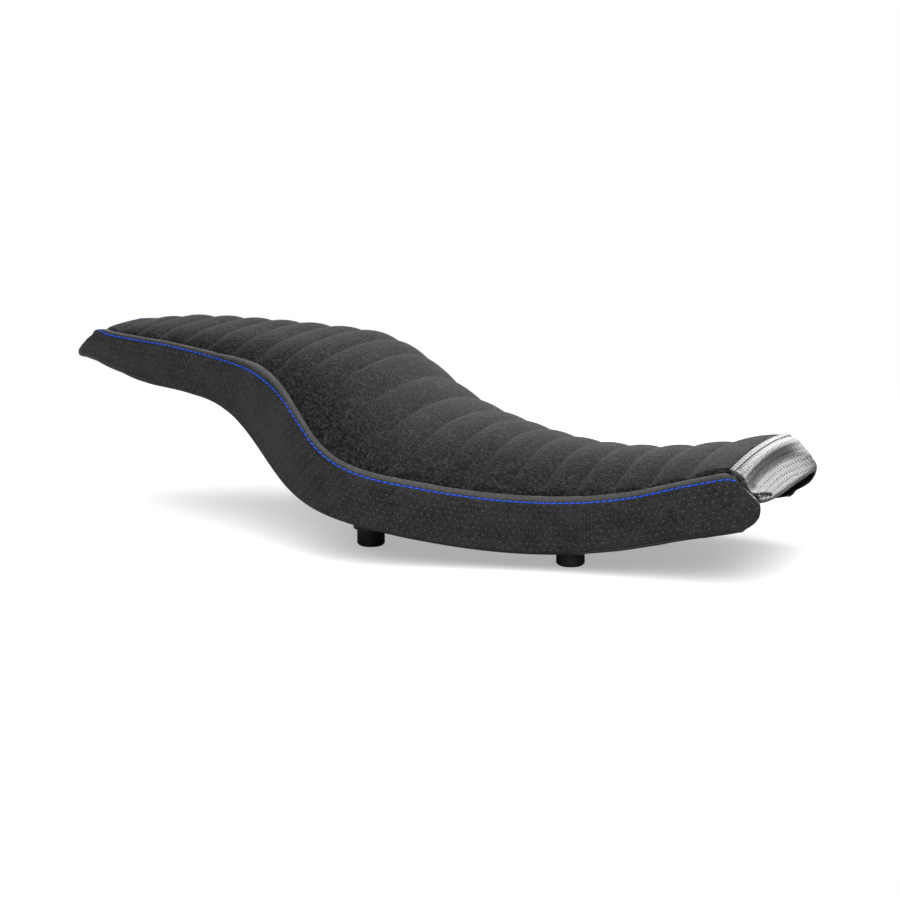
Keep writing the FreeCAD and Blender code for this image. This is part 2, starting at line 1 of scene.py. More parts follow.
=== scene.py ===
import json
import math
import random
import bpy
import numpy as np
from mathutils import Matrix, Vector

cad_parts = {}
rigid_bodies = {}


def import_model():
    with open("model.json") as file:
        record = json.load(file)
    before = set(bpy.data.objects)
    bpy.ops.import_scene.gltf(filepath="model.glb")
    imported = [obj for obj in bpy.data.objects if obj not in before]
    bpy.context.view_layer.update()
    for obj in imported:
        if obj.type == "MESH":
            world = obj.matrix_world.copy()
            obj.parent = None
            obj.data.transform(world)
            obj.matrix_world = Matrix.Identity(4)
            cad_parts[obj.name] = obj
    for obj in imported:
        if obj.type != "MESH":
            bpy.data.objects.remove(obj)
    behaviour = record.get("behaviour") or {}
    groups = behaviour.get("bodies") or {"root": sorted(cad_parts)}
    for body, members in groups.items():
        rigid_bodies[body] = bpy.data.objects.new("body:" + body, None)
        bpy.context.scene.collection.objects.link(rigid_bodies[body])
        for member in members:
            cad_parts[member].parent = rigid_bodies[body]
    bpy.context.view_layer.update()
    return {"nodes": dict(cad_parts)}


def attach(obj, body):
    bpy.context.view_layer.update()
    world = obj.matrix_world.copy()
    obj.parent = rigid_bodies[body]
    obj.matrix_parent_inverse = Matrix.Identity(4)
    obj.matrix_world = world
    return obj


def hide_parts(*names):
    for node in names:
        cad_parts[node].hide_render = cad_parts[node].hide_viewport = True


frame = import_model()
nodes = frame["nodes"]
mm = 0.001
mirror = np.array([1, -1, 1])
print("frame loaded")


def smooth(value, low, high):
    t = np.clip((np.asarray(value, float) - low) / (high - low), 0, 1)
    return t * t * (3 - 2 * t)


def bell(value, middle, width):
    return np.exp(-((np.asarray(value, float) - middle) / width) ** 2)


def lengthsAlong(points):
    return np.concatenate([[0], np.cumsum(np.linalg.norm(np.diff(points, axis=0), axis=1))])


def pointsAt(places, run, line):
    # the points of a line at given lengths along it
    return np.stack([np.interp(places, run, column) for column in line.T], axis=-1)


def spacedThrough(stops, counts):
    # from the first stop to the last, with so many even spaces between each two
    parts = [np.linspace(low, high, count + 1)[:-1]
             for low, high, count in zip(stops, stops[1:], counts)]
    return np.concatenate(parts + [[stops[-1]]])


def crowdedAcross(count, crowd):
    # from -1 to 1, closer together towards both ends
    even = np.linspace(-1, 1, count)
    return np.sign(even) * (1 - (1 - np.abs(even)) ** crowd)


def softNoise(seed, size, a, b):
    # a sum of slow waves of about one length, the same on every run
    draw = random.Random(seed)
    waves, turn, total = 7, 6.28, 0
    for i in range(waves):
        phase = draw.uniform(0, turn)
        reach = size * draw.uniform(0.6, 1.7)
        angle = draw.uniform(0, turn / 2)
        total = total + np.sin(turn * (a * math.cos(angle) + b * math.sin(angle)) / reach + phase)
    return total / waves ** 0.5


# the seat's form, in millimetres: x, half width, crown height, underside, crown radius
stations = [
    (360, 88, 112, 56, 900), (300, 91, 101, 38, 390), (225, 99, 92, 20, 212),
    (150, 113, 92, 15, 226), (80, 135, 101, 22, 305), (20, 153, 111, 34, 460),
    (-25, 153, 134, 45, 490), (-70, 133, 161, 63, 660), (-115, 108, 172, 95, 730),
    (-160, 90, 175, 120, 950), (-240, 72, 177, 131, 1000), (-344, 31, 178, 137, 1000)]
ends = {"noseSeam": 333, "noseTip": 361, "noseTipZ": 76, "noseHeel": 344,
        "tailSeam": -326, "tailTip": -361, "tailTipZ": 145, "tailHeel": -344}


def splineThrough(column):
    # natural cubic through one column of the stations
    rows = np.array(sorted(stations), float)
    at, value = rows[:, 0], rows[:, column]
    count = len(at)
    step = np.diff(at)
    slope = np.diff(value) / step
    bend = np.zeros(count)
    grid = np.zeros((count - 2, count - 2))
    for i in range(count - 2):
        grid[i, i] = 2 * (step[i] + step[i + 1])
        if i:
            grid[i, i - 1] = step[i]
        if i < count - 3:
            grid[i, i + 1] = step[i + 1]
    bend[1:-1] = np.linalg.solve(grid, 6 * np.diff(slope))

    def law(x):
        x = np.clip(np.asarray(x, float), at[0], at[-1])
        i = np.clip(np.searchsorted(at, x) - 1, 0, count - 2)
        t, h = x - at[i], step[i]
        lead = slope[i] - h * (2 * bend[i] + bend[i + 1]) / 6
        cube = (bend[i + 1] - bend[i]) * t ** 3 / (6 * h)
        return value[i] + lead * t + bend[i] * t ** 2 / 2 + cube

    return law


halfAt, topAt, baseAt, radiusAt = [splineThrough(i) for i in (1, 2, 3, 4)]


def crownAt(x, y):
    radius = radiusAt(x)
    return topAt(x) - radius + np.sqrt(radius ** 2 - np.asarray(y, float) ** 2)


# how the stuffed cover departs from the plain crown: x, its edges, its middle
settle = [(333, 0.5, 1.5), (290, -0.8, 1), (230, 1.2, 0.2), (150, 2.2, 1), (105, 2.8, 1.8),
          (60, 1, 4.5), (20, -1.2, 9), (-30, -4, 19), (-75, -2, 13.5), (-110, -2, 8.5),
          (-160, -4, 7.5), (-225, -1.2, 6.5), (-255, -1.8, 5.5), (-290, -3, 1),
          (-310, -3.5, -1.5), (-326, -6.5, -5)]
settleEdge = 4.5  # the higher, the nearer to the edge its own value stays


def settledAt(x, share):
    # share runs from 0 on the centre line to 1 at the edge
    at, edge, middle = [np.array(column)[::-1] for column in zip(*settle)]
    blend = np.clip(np.abs(share), 0, 1) ** settleEdge
    return np.interp(x, at, edge) * blend + np.interp(x, at, middle) * (1 - blend)


hemLine = [(333, 0), (-140, 0), (-190, -3), (-240, -2.5), (-290, 0), (-361, 0)]  # x, rise
tailSweep = {"rise": 6.5, "from": 258, "to": 330}  # the underside lifts towards the tail's tip


def tailLift(x):
    return tailSweep["rise"] * smooth(-np.asarray(x, float), tailSweep["from"], tailSweep["to"])


def hemAt(x):
    at, rise = [np.array(column)[::-1] for column in zip(*hemLine)]
    return baseAt(x) + np.interp(x, at, rise) + tailLift(x)


# meshes
def gridNormals(points, probe, axis, sign):
    # normals of a grid, turned so that the one at the probe points along the axis's sign
    down = np.gradient(points, axis=0)
    along = np.gradient(points, axis=1)
    normal = np.cross(down, along)
    normal = normal / np.maximum(np.linalg.norm(normal, axis=2, keepdims=True), 1e-9)
    return normal if normal[probe][axis] * sign > 0 else -normal


def cornersOf(mesh):
    spots = np.zeros(len(mesh.vertices) * 3)
    mesh.vertices.foreach_get("co", spots)
    return spots.reshape(-1, 3)


def moveCorners(mesh, spots):
    mesh.vertices.foreach_set("co", spots.ravel())
    mesh.update()


def linked(name, data):
    made = bpy.data.objects.new(name, data)
    bpy.context.collection.objects.link(made)
    return made


def shadeSmooth(mesh):
    mesh.polygons.foreach_set("use_smooth", [True] * len(mesh.polygons))


def meshObject(name, points, faces, uvs=None):
    mesh = bpy.data.meshes.new(name)
    mesh.from_pydata([tuple(p) for p in np.asarray(points) * mm], [], faces)
    if uvs is not None:
        layer = mesh.uv_layers.new(name="along")
        loops = np.zeros(len(mesh.loops), int)
        mesh.loops.foreach_get("vertex_index", loops)
        layer.uv.foreach_set("vector", np.asarray(uvs)[loops].astype(np.float32).ravel())
    mesh.update()
    shadeSmooth(mesh)
    return linked(name, mesh)


def ringFaces(count, around, base=0):
    # faces of a skin through rings of equal count, and a cap at each end
    faces = []
    for here in range(base, base + (count - 1) * around, around):
        for j in range(around):
            k = (j + 1) % around
            faces.append((here + j, here + k, here + around + k, here + around + j))
    last = base + (count - 1) * around
    faces.append(tuple(range(base + around - 1, base - 1, -1)))
    faces.append(tuple(range(last, last + around)))
    return faces


def facedOut(made):
    # turns a closed skin's faces outwards
    mesh = made.data
    mesh.calc_loop_triangles()
    tris = np.zeros(len(mesh.loop_triangles) * 3, int)
    mesh.loop_triangles.foreach_get("vertices", tris)
    a, b, c = cornersOf(mesh)[tris.reshape(-1, 3)].transpose(1, 0, 2)
    if np.einsum("ij,ij->i", a, np.cross(b, c)).sum() < 0:
        mesh.flip_normals()
    return made


def tubeMesh(name, rings, uvs):
    flat = None if uvs is None else uvs.reshape(-1, 2)
    return facedOut(meshObject(name, rings.reshape(-1, 3), ringFaces(*rings.shape[:2]), flat))


def lookAlong(made, way):
    made.rotation_mode = "QUATERNION"
    made.rotation_quaternion = way.to_track_quat("-Z", "Y")


camera = {"azimuth": 24.5, "elevation": 11.2, "target": (0.0251, 0, 0.106), "distance": 2.1396,
          "lens": 91.9, "shift": (0.0130, -0.0352), "farthest": 50}


def makeCamera():
    turn, lift = math.radians(camera["azimuth"]), math.radians(camera["elevation"])
    back = Vector((math.sin(turn) * math.cos(lift), -math.cos(turn) * math.cos(lift),
                   math.sin(lift)))
    made = linked("viewer", bpy.data.cameras.new("viewer"))
    made.location = Vector(camera["target"]) + back * camera["distance"]
    lookAlong(made, -back)
    made.data.lens = camera["lens"]
    made.data.shift_x, made.data.shift_y = camera["shift"]
    made.data.clip_end = camera["farthest"]
    bpy.context.scene.camera = made


# pleated suede top
pleats = {"count": 22, "stretch": 0.27, "fade": 1.8, "depth": 4.2, "rows": 12, "columns": 61,
          "crowd": 1.25, "even": 0.45, "roundness": 2.2, "valley": 0.8, "under": 11.8,
          "lowColumns": 15, "leftSide": (0.35, 0.7), "rightSide": (0.3, 0.65), "tuck": 0.3,
          "edgeDrop": 2.6, "edgeWidth": 2.6, "edgeCalm": 0.35, "calmWidth": 8, "uneven": 0.06,
          "wander": 0.5, "wanderSize": 90, "samples": 2000}
pillow = {"frames": 20, "pressure": 4, "cap": 2.0, "stiffness": 12, "bending": 0.6,
          "quality": 5, "mass": 0.3}


def pleatSeams():
    # where the seams cross the centre line, nose to tail; the nose pleats are a little wider
    x = np.linspace(ends["tailSeam"], ends["noseSeam"], pleats["samples"])
    run = lengthsAlong(np.stack([x, topAt(x)], axis=1))
    share = 1 + pleats["stretch"] * np.exp(-np.arange(pleats["count"]) / pleats["fade"])
    cuts = run[-1] * (1 - np.concatenate([[0], np.cumsum(share)]) / share.sum())
    return np.interp(cuts, run, x)


def pleatRows():
    # x, share of the way through the pleat, and the pleat's height
    seams = pleatSeams()
    draw = random.Random(4)
    rows = []
    for k in range(pleats["count"]):
        height = 1 + pleats["uneven"] * draw.uniform(-1, 1)
        for i in range(pleats["rows"]):
            u = (1 - math.cos(math.pi * i / pleats["rows"])) / 2
            u = (1 - pleats["even"]) * u + pleats["even"] * i / pleats["rows"]
            rows.append((seams[k] + u * (seams[k + 1] - seams[k]), u, height))
    rows.append((seams[-1], 1, 1))
    return np.array(rows)


def topSurface(x, u, height, y, reach):
    # height of the suede at a point: crown, pleat and the pull of the edge seam
    fromEdge = reach - np.abs(y)
    calm = 1 - pleats["edgeCalm"] * np.exp(-(fromEdge / pleats["calmWidth"]) ** 2)
    swell = 1 - np.abs(2 * u - 1) ** pleats["roundness"]
    sunk = pleats["depth"] * height * calm * (1 - swell ** pleats["valley"])
    pull = pleats["edgeDrop"] * np.exp(-(fromEdge / pleats["edgeWidth"]) ** 2)
    return crownAt(x, y) + settledAt(x, y / reach) + proudAt(x) - sunk - pull


def makeTop():
    rows = pleatRows()
    x, u, height = [rows[:, i][:, None] for i in range(3)]
    reach = suedeEdge(x)
    y = reach * crowdedAcross(pleats["columns"], pleats["crowd"])[None, :]
    shift = pleats["wander"] * softNoise(11, pleats["wanderSize"], x + 0 * y, y)
    top = np.stack([x + shift, y, topSurface(x, u, height, y, reach)], axis=2)
    top[[0, -1], :, 0] = x[[0, -1]]
    lowY = reach * np.linspace(1, -1, pleats["lowColumns"])[None, :]
    low = np.stack([x + 0 * lowY, lowY, crownAt(x, lowY) - pleats["under"]], axis=2)
    left, right = [np.array(pleats[side])[None, :, None] for side in ("leftSide", "rightSide")]
    sideLeft = top[:, -1:] + (low[:, :1] - top[:, -1:]) * left
    sideRight = low[:, -1:] + (top[:, :1] - low[:, -1:]) * right
    rings = np.concatenate([top, sideLeft, low, sideRight], axis=1)
    made = tubeMesh("pleatedTop", rings, None)
    held = made.vertex_groups.new(name="held")
    around = rings.shape[1]
    free = []
    for i in range(1, len(rows) - 1):
        if i % pleats["rows"]:  # not on a seam
            free += [i * around + j for j in range(1, pleats["columns"] - 1)]
    held.add(sorted(set(range(rings.shape[0] * around)) - set(free)), 1.0, "REPLACE")
    puffUp(made)
    finer = made.modifiers.new("smooth", "SUBSURF")
    finer.levels = finer.render_levels = 1
    return made


def puffUp(made):
    # the padding behind each pleat swells the suede between its seams
    before = cornersOf(made.data)
    cloth = made.modifiers.new("cloth", "CLOTH")
    cloth.settings.quality = pillow["quality"]
    cloth.settings.mass = pillow["mass"]
    cloth.settings.tension_stiffness = pillow["stiffness"]
    cloth.settings.compression_stiffness = pillow["stiffness"]
    cloth.settings.shear_stiffness = pillow["stiffness"] / 2
    cloth.settings.bending_stiffness = pillow["bending"]
    cloth.settings.use_pressure = True
    cloth.settings.uniform_pressure_force = pillow["pressure"]
    cloth.settings.vertex_group_mass = "held"
    cloth.settings.effector_weights.gravity = 0
    cloth.collision_settings.use_collision = False
    cloth.point_cache.frame_start = 1
    cloth.point_cache.frame_end = pillow["frames"]
    for step in range(1, pillow["frames"] + 1):
        bpy.context.scene.frame_set(step)
    swollen = made.evaluated_get(bpy.context.evaluated_depsgraph_get())
    move = cornersOf(swollen.data) - before
    made.modifiers.remove(cloth)
    bpy.context.scene.frame_set(1)
    size = np.linalg.norm(move, axis=1, keepdims=True)
    print("pleats swell by up to %.2f mm, mean %.2f" % (size.max() / mm, size.mean() / mm))
    move *= np.minimum(1, pillow["cap"] * mm / np.maximum(size, 1e-9))
    moveCorners(made.data, before + move)


# side bands; pairs ending in At are a middle and a width, in From a start and an end
band = {"inset": 7, "rollRadius": 1.7, "shoulder": 5.3, "bottom": 5, "hem": 20, "groove": 9,
        "skin": 1.8, "seamGap": 0.3, "stitchAt": 8.4, "channel": 0.7, "channelWidth": 1.3,
        "pucker": 0.25, "puckerWidth": 2.4, "pitch": 5.6, "step": 1.4, "bulge": 1.8,
        "uneven": 0.35, "unevenSize": 60, "crease": 0.5, "creaseSize": 5.5, "creaseAt": (170, 70),
        "puff": 0.12, "puffSize": 26, "puffAt": (-5, 3), "blunt": (1.5, 3), "slope": 1.6,
        "slopeEnd": (4, 4), "lip": 1.7, "lipDeep": 3.5, "frontGap": -0.5, "shearFrom": 285,
        "corner": 26, "blunted": 0.2, "proud": 2.1, "proudFrom": (-95, -40),
        "noseCorner": (18, 5), "noseBack": (76, 50, 18), "turnUnder": 8, "turnFrom": (120, 300),
        "wider": 6.5, "widerAt": (-115, 42), "clearPan": 1.2, "clearFrom": (270, 325),
        "spaces": (3, 6, 8, 18, 6, 3), "probe": (200, 20)}
# columns of the band's grid, from its groove down to its hem
crestColumn, stitchColumn, faceColumn, lowColumn = 3, 13, 32, 34
innerColumns = [3, 8, 14, 20, 26, 32, 38, 44]
planSteps = {"flank": 900, "tail": 60, "corner": 30}


def proudAt(x):
    # the cover stands a little higher on the rider's deck
    return band["proud"] * smooth(x, *band["proudFrom"])


def tailTop(x):
    # the tail's upper slope, from its blunt tip to the end of the suede
    ahead, drop = band["slopeEnd"]
    tip, high = ends["tailTipZ"] + band["blunt"][0], topAt(ends["tailSeam"]) - drop
    share = (x - ends["tailTip"]) / (ends["tailSeam"] + ahead - ends["tailTip"])
    return tip + (high - tip) * share ** band["slope"]


def tailBase(x):
    tip, low = ends["tailTipZ"] - band["blunt"][1], hemAt(ends["tailHeel"])
    return low + (ends["tailHeel"] - x) * ((tip - low) / (ends["tailHeel"] - ends["tailTip"]))


def lowestAt(x):
    return float(hemAt(x)) if x > ends["tailHeel"] else float(tailBase(x))


def widerAt(x):
    # the strip above the stitches broadens on the steep part
    return band["wider"] * bell(x, *band["widerAt"])


def outlinePath():
    # the plan outline from the nose to the tail tip, and the edge of the suede beside it
    heel, seam = ends["tailHeel"], ends["tailSeam"]
    sagitta = heel - ends["tailTip"]
    half = float(halfAt(heel))
    radius = (half ** 2 + sagitta ** 2) / (2 * sagitta)
    x = np.linspace(ends["noseSeam"], heel, planSteps["flank"])
    flank = np.stack([x, -halfAt(x)], axis=1)
    turn = np.linspace(math.asin(half / radius), 0, planSteps["tail"])[1:]
    arc = np.stack([ends["tailTip"] + radius * (1 - np.cos(turn)), -radius * np.sin(turn)], axis=1)
    outer = np.concatenate([flank, arc])
    tangent = np.gradient(outer, axis=0)
    tangent /= np.linalg.norm(tangent, axis=1, keepdims=True)
    normal = np.stack([-tangent[:, 1], tangent[:, 0]], axis=1)  # outward
    beside = outer - (band["inset"] + widerAt(outer[:, :1])) * normal
    past = beside[int(np.argmax(beside[:, 0] < seam))]
    # near the tail the edge turns in through a rounded corner and runs straight across
    k = int(np.argmax(outer[:, 0] < seam + band["corner"]))
    beside = beside[:k]
    start, corner = beside[-1], np.array([seam, past[1]])
    end = np.array([seam, past[1] * band["blunted"]])
    t = np.linspace(0, 1, planSteps["corner"])[1:, None]
    bend = (1 - t) ** 2 * start + 2 * t * (1 - t) * corner + t ** 2 * end
    straight = np.linspace(end, [seam, 0], planSteps["corner"])[1:]
    turnIn = np.concatenate([start[None], bend, straight])
    outRun = lengthsAlong(outer[k - 1:])
    inRun = lengthsAlong(turnIn)
    inner = pointsAt(np.clip(outRun / outRun[-1], 0, 1) * inRun[-1], inRun, turnIn)
    return outer, np.concatenate([beside[:-1], inner]), normal


def suedeEdge(x):
    # half width of the suede, just under the rolled edge of the bands
    inner = outlinePath()[1]
    inner = inner[inner[:, 0] > ends["tailSeam"] + 0.02][::-1]
    return np.interp(x, inner[:, 0], -inner[:, 1]) + pleats["tuck"]


def roundedLine(corners, radii, samples=7):
    # a line whose inner corners are replaced by arcs
    points = [corners[0]]
    for i in range(1, len(corners) - 1):
        here = corners[i]
        back, ahead = corners[i - 1] - here, corners[i + 1] - here
        backLength, aheadLength = np.linalg.norm(back), np.linalg.norm(ahead)
        back, ahead = back / backLength, ahead / aheadLength
        angle = math.acos(float(np.clip(back @ ahead, -1, 1)))
        reach = radii[i] / math.tan(angle / 2) if angle > 0.01 else 0
        reach = min(reach, 0.46 * backLength, 0.46 * aheadLength)
        radius = reach * math.tan(angle / 2)
        inward = (back + ahead) / np.linalg.norm(back + ahead)
        middle = here + inward * radius / math.sin(angle / 2)
        first, last = here + back * reach - middle, here + ahead * reach - middle
        sweep = math.acos(float(np.clip(first @ last / radius ** 2, -1, 1)))
        for s in range(samples + 1):
            t = s / samples
            weight = np.array([math.sin((1 - t) * sweep), math.sin(t * sweep)]) / math.sin(sweep)
            points.append(middle + weight[0] * first + weight[1] * last)
    points.append(corners[-1])
    return np.array(points)


def noseEnd(z, low, soft):
    # x of the nose at a height: its upper slope, rounded into what it is low down
    tip, tipZ, seam = ends["noseTip"], ends["noseTipZ"], ends["noseSeam"]
    high = tip - (z - tipZ) * (tip - seam) / (topAt(seam) - tipZ)
    origin = 300  # keeps the powers small
    return origin - soft * np.log(np.exp(-(high - origin) / soft) + np.exp(-(low - origin) / soft))


def chiselNose(z):
    # straight back from the tip down to the heel
    tip, tipZ, heel = ends["noseTip"], ends["noseTipZ"], ends["noseHeel"]
    return noseEnd(z, tip - (tipZ - z) * (tip - heel) / (tipZ - baseAt(heel)), 3.0)


def curvedNose(z):
    # cut back from the tip in a curve, as the bands are
    start, end, deep = band["noseBack"]
    cut = np.clip((start - z) / (start - end), 0, 1) ** 3
    return noseEnd(z, ends["noseTip"] - deep * cut, 1.5)


def bandSection(out, inn, normal):
    # the band's visible path at one place: groove, rolled edge, shoulder, face, hem
    n3, up = np.array([normal[0], normal[1], 0]), np.array([0, 0, 1.0])
    edge = float(settledAt(inn[0], 1))
    proud = float(proudAt(inn[0])) - band["seamGap"]
    inTop = np.array([inn[0], inn[1], float(crownAt(inn[0], inn[1])) + edge + proud])
    zTop = float(crownAt(out[0], out[1])) + edge
    if out[0] < ends["tailSeam"]:
        zTop = min(zTop, float(tailTop(out[0])))
    outTop = np.array([out[0], out[1], zTop])
    outLow = np.array([out[0], out[1], lowestAt(out[0])])
    hem = outLow - n3 * band["hem"]
    hem[2] = lowestAt(hem[0])
    toward = (outTop - inTop) / np.linalg.norm(outTop - inTop)
    groove = inTop - band["groove"] * up + band["seamGap"] * toward
    inset = inTop + band["seamGap"] * toward
    under = band["bottom"] + band["turnUnder"] * float(smooth(out[0], *band["turnFrom"]))
    return roundedLine([groove, inset, outTop, outLow, hem],
                       [0, band["rollRadius"], band["shoulder"], under, 0])


def bandGrid():
    outer, inner, normal = outlinePath()
    run = lengthsAlong(outer)
    places = np.append(np.arange(0, run[-1], band["step"]), run[-1])
    places[-2] = (places[-3] + places[-1]) / 2
    rows, marks = [], []
    for place in places:
        out, inn, nor = [pointsAt(place, run, line) for line in (outer, inner, normal)]
        line = bandSection(out, inn, nor / np.linalg.norm(nor))
        along = lengthsAlong(line)
        crest, bottom = along[4], along[-9]  # middle of the first arc, start of the last
        stitch = crest + band["stitchAt"] + float(widerAt(out[0]))
        channel = (stitch - band["puckerWidth"], stitch + band["puckerWidth"])
        cuts = spacedThrough([0, crest, *channel, bottom, along[-2], along[-1]], band["spaces"])
        rows.append(pointsAt(cuts, along, line))
        marks.append(cuts)
    points, cuts = np.array(rows), np.array(marks)
    # the front end leans with the nose
    lean = smooth(points[:, :1, 0], band["shearFrom"], ends["noseSeam"])
    target = curvedNose(points[:, :, 2]) - band["frontGap"] - ends["noseSeam"]
    moved = points[:, :, 0] + lean * target
    points[:, :, 1] -= (halfAt(moved) - halfAt(points[:, :, 0])) * (lean > 0)
    points[:, :, 0] = moved
    # its upper corner is rounded
    fromEnd = (ends["noseSeam"] - np.interp(places, run, outer[:, 0]))[:, None]
    high, low = points[:, crestColumn, None, 2], points[:, lowColumn, None, 2]
    share = (points[:, :, 2] - low) / (high - low)
    reach, drop = band["noseCorner"]
    points[:, :, 2] -= drop * np.clip(1 - fromEnd / reach, 0, 1) ** 2 * smooth(share, 0.3, 1.0)
    return points, cuts, places


def bandNormals(points):
    # the probe, a spot well inside the face, shows which way is out
    return gridNormals(points, band["probe"], 1, -1)


def bandRelief(points, cuts, places):
    # stitch channel with its puckers, the full face, creases, and room for the pan at the tail
    x, z = points[:, :, 0], points[:, :, 2]
    fromStitch = cuts - cuts[:, stitchColumn, None]
    share = np.clip(fromStitch / (cuts[:, faceColumn] - cuts[:, stitchColumn])[:, None], 0, 1)
    tail = smooth(-x[:, :1], -ends["tailSeam"] - 40, -ends["tailTip"])
    move = -band["channel"] * bell(fromStitch, 0, band["channelWidth"])
    phase = np.cos(2 * math.pi * places / band["pitch"])[:, None]
    move = move - band["pucker"] * bell(fromStitch, 0, band["puckerWidth"]) * phase
    move = move + band["bulge"] * (1 - tail) * np.sin(math.pi * share) ** 0.8
    calm = smooth(share, 0.02, 0.2) * (1 - smooth(share, 0.8, 1))
    move = move + band["uneven"] * calm * softNoise(3, band["unevenSize"], x, z)
    crease = softNoise(8, band["creaseSize"], x, z * 0.12) * bell(x, *band["creaseAt"]) * calm
    move = move + band["crease"] * crease
    puff = bell(fromStitch, *band["puffAt"]) * softNoise(5, band["puffSize"], x, z) * band["puff"]
    clear = band["clearPan"] * smooth(-x, *band["clearFrom"])
    move = move + clear * smooth(fromStitch, 4, 12)
    return points + bandNormals(points) * (move + puff)[:, :, None]


def makeBand(name, side):
    points, cuts, places = bandGrid()
    points = bandRelief(points, cuts, places)
    normal = bandNormals(points)
    # the front end turns in round a small lip, past the rolled edge only
    first, lip = points[0], band["lip"]
    way, outward = np.array([1.0, 0, 0]), np.array([0, -1.0, 0])
    turned = smooth(cuts[0], cuts[0, crestColumn] - 0.5, cuts[0, crestColumn] + 5)[:, None]
    lipRows, lipPlaces = [], []
    for turn in (math.pi / 2, math.pi / 3, math.pi / 6):
        ahead = way * lip * math.sin(turn)
        inward = outward * lip * (1 - math.cos(turn)) * turned
        lipRows.append(first + ahead - inward)
        lipPlaces.append(places[0] - lip * math.sin(turn))
    deep = lipRows[0] - outward * band["lipDeep"] * turned
    rows = np.concatenate([[deep - way], lipRows, points])
    rowCuts = np.concatenate([cuts[:1]] * 4 + [cuts])
    rowPlaces = np.concatenate([[places[0] - lip - band["lipDeep"]], lipPlaces, places])
    # inner skin, coarser than the outer one
    rowNormals = np.concatenate([normal[:1]] * 4 + [normal])
    inside = (rows - rowNormals * band["skin"])[:, innerColumns][:, ::-1]
    inside[0] = inside[1] * 0.3 + rows[0][innerColumns][::-1] * 0.7
    rings = np.concatenate([rows, inside], axis=1)
    uvRow = np.stack([np.broadcast_to(rowPlaces[:, None], rowCuts.shape), rowCuts], axis=2)
    uvs = np.concatenate([uvRow, uvRow[:, innerColumns][:, ::-1]], axis=1) * mm
    made = tubeMesh(name, rings * mirror if side > 0 else rings, uvs)
    path, out = points[:, stitchColumn], normal[:, stitchColumn]
    return (made, path * mirror, out * mirror) if side > 0 else (made, path, out)


thread = {"radius": 0.5, "gap": 0.6, "lift": 0.1, "rise": 0.35, "slant": 0.28, "wobble": 0.1,
          "sides": 8, "rings": 7, "blunt": 5, "flat": 0.8, "tip": 0.04}


def stitchesAlong(name, path, outward, pitch, radius):
    # short rounded dashes of thread, each from one needle hole to the next
    run = lengthsAlong(path)
    points, faces = [], []
    draw = random.Random(21)
    for i in range(int(run[-1] / pitch)):
        a, b = i * pitch + thread["gap"] / 2, (i + 1) * pitch - thread["gap"] / 2
        tilt = thread["slant"] + draw.uniform(-thread["wobble"], thread["wobble"])
        faces += ringFaces(thread["rings"], thread["sides"], len(points))
        for r in range(thread["rings"]):
            t = r / (thread["rings"] - 1)
            at = a + t * (b - a)
            out = pointsAt(at, run, outward)
            out /= np.linalg.norm(out)
            ahead = pointsAt(min(b, at + 1), run, path) - pointsAt(at - 1, run, path)
            over = np.cross(out, ahead / np.linalg.norm(ahead))
            high = thread["rise"] * math.sin(math.pi * t) + thread["lift"]
            middle = pointsAt(at, run, path) + out * high + over * tilt * (2 * t - 1)
            full = max(0.0, 1 - abs(2 * t - 1) ** thread["blunt"]) ** 0.5
            width = radius * full + thread["tip"]
            for s in range(thread["sides"]):
                angle = 2 * math.pi * s / thread["sides"]
                side = math.cos(angle) * over + math.sin(angle) * out * thread["flat"]
                points.append(middle + width * side)
    return facedOut(meshObject(name, points, faces))


# nose panel; tuck, strip and crease are x and z from the seam, lip is x from the tip and z
nose = {"columns": 150, "crowd": 1.5, "spaces": (5, 59, 5, 5), "widthAt": 350, "narrower": 2.8,
        "rimRadius": 2.2, "rimDeep": 6, "rimWay": (-0.75, -0.66, 0.05), "above": 2.4,
        "tuck": (0, -7), "strip": (13, -6), "crease": (12.5, -19),
        "creaseEnds": ((20, -18.5), (26, -19)), "lip": (4, 70), "lipEnds": (8, 0),
        "under": ((327, 64), (319, 47.5)), "hem": 303, "hemDrop": 0.5, "skin": 1.6,
        "radii": [0, 1.8, 5, 13, 2.8, 4, 4, 0], "stitchAt": 5.5, "channel": 0.6,
        "channelWidth": 0.9, "channelEnds": 6, "pitch": 4.6, "threadRadius": 0.45,
        "threadEnds": 4, "slitEnd": 46, "slitTall": 2.2, "slitDeep": 9, "slitFar": 0.0,
        "slitUp": 4, "slitFall": 1.5, "arch": (0.6, 0.25), "hollow": (1.2, 8, 3),
        "ridge": (0.7, 4, 1.6), "mapFrom": (400, 40), "probe": (60, 25)}


def noseProfile(y, wide):
    # side view at one place across: roll, strip, crease, lower lip, and back under to the pan
    share = (abs(y) / wide) ** 3
    seam = ends["noseSeam"]
    top = np.array([seam, y, float(crownAt(seam, y)) + nose["above"]])

    def below(spot):
        return top + np.array([spot[0], 0, spot[1]])

    far = int(y > 0)
    middle, side = below(nose["crease"]), below(nose["creaseEnds"][far])
    lip = np.array([ends["noseTip"] + nose["lip"][0], y,
                    nose["lip"][1] + nose["lipEnds"][far] * share])
    back, low = [np.array([x, y, z]) for x, z in nose["under"]]
    hem = np.array([nose["hem"], y, float(baseAt(nose["hem"])) - nose["hemDrop"]])
    corners = [below(nose["tuck"]), top, below(nose["strip"]),
               middle + (side - middle) * (y / wide) ** 2, lip, back, low, hem]
    return roundedLine(corners, nose["radii"], 16)


